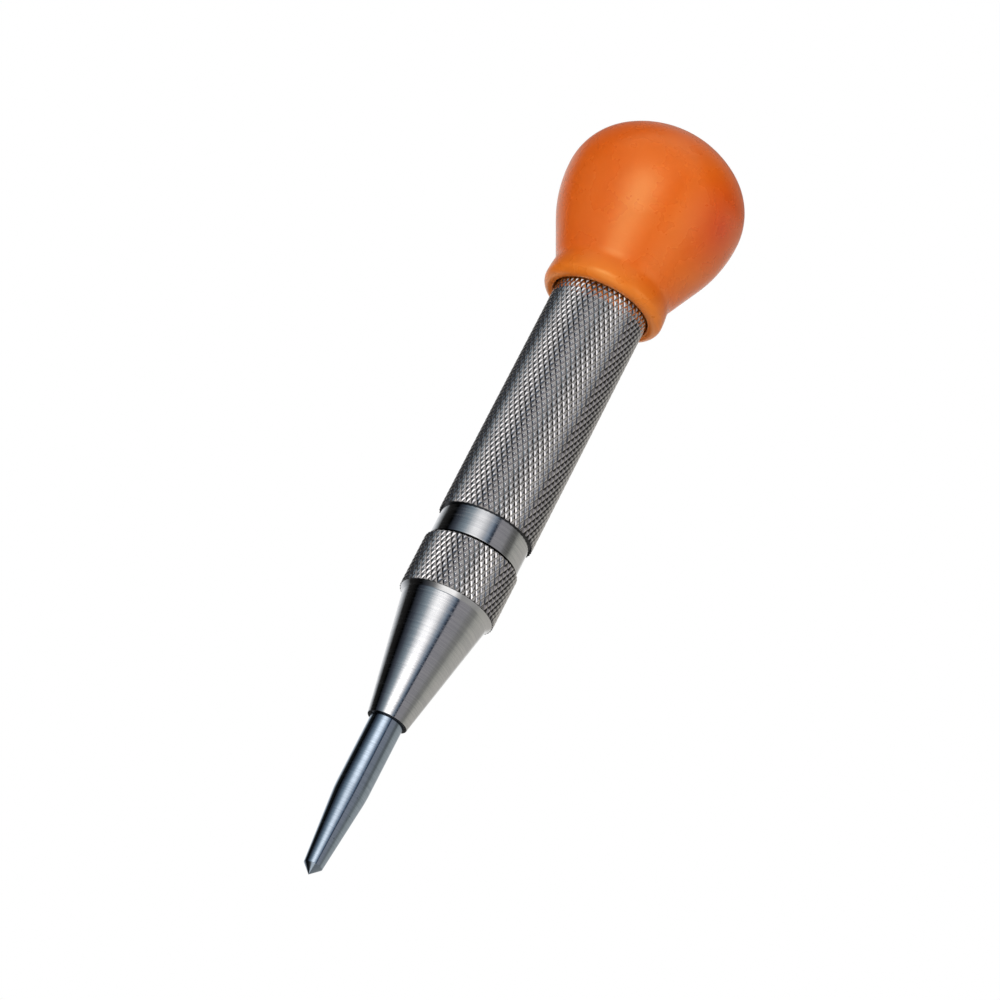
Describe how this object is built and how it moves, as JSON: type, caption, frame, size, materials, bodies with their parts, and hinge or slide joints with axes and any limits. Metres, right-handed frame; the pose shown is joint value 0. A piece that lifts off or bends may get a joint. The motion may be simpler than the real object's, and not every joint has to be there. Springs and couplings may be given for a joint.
{
  "type": "automatic center punch",
  "caption": "Spring-loaded marking punch: steel point in a tapered nose, knurled barrel, and a round screw cap that sets the blow.",
  "frame": {"origin": "the tip of the punch, at the centre of the bottom of the box", "axes": "+Z along the tool's axis from the tip to the ball, +X the way the latch comes out of the hammer"},
  "size_m": [0.0284, 0.0284, 0.1311],
  "materials": {
    "cap_plastic": "satin orange moulded plastic",
    "plated_steel": "bright plated steel, knurled on the grip and the collar",
    "hardened_steel": "hardened and ground steel",
    "turned_steel": "turned steel",
    "spring_steel": "oil-dark spring wire"
  },
  "bodies": {
    "barrel": {"barrel": "plated_steel", "nose": "plated_steel", "main_spring": "spring_steel"},
    "punch": {"punch": "hardened_steel", "drive_pin": "turned_steel", "return_spring": "spring_steel"},
    "hammer": {"hammer": "turned_steel", "latch_spring": "spring_steel"},
    "latch": {"latch": "turned_steel"},
    "spring_seat": {"spring_seat": "turned_steel"},
    "cap": {"ball_cap": "cap_plastic", "adjusting_cap": "turned_steel"}
  },
  "joints": [
    {"name": "punch_stroke", "type": "slide", "parent": "barrel", "child": "punch", "axis": [0, 0, 1], "range_m": [0, 0.009], "stiffness_N_per_m": 14600},
    {"name": "hammer_stroke", "type": "slide", "parent": "barrel", "child": "hammer", "axis": [0, 0, 1], "range_m": [0, 0.009], "deforming": ["main_spring"]},
    {"name": "latch_slide", "type": "slide", "parent": "hammer", "child": "latch", "axis": [-1, 0, 0], "range_m": [0, 0.00095], "deforming": ["latch_spring"]},
    {"name": "seat_lift", "type": "slide", "parent": "barrel", "child": "spring_seat", "axis": [0, 0, 1], "range_m": [0, 0.00375]},
    {"name": "cap_turn", "type": "hinge", "parent": "spring_seat", "child": "cap", "pos_m": [0, 0, 0.119], "axis": [0, 0, 1], "range_deg": [0, 1080]}
  ],
  "couplings": [
    {"joint": "hammer_stroke", "follows": "punch_stroke", "ratio": 1},
    {"joint": "latch_slide", "follows": "punch_stroke", "ratio": 0.10556},
    {"joint": "seat_lift", "follows": "cap_turn", "m_per_rad": 0.00019894}
  ]
}
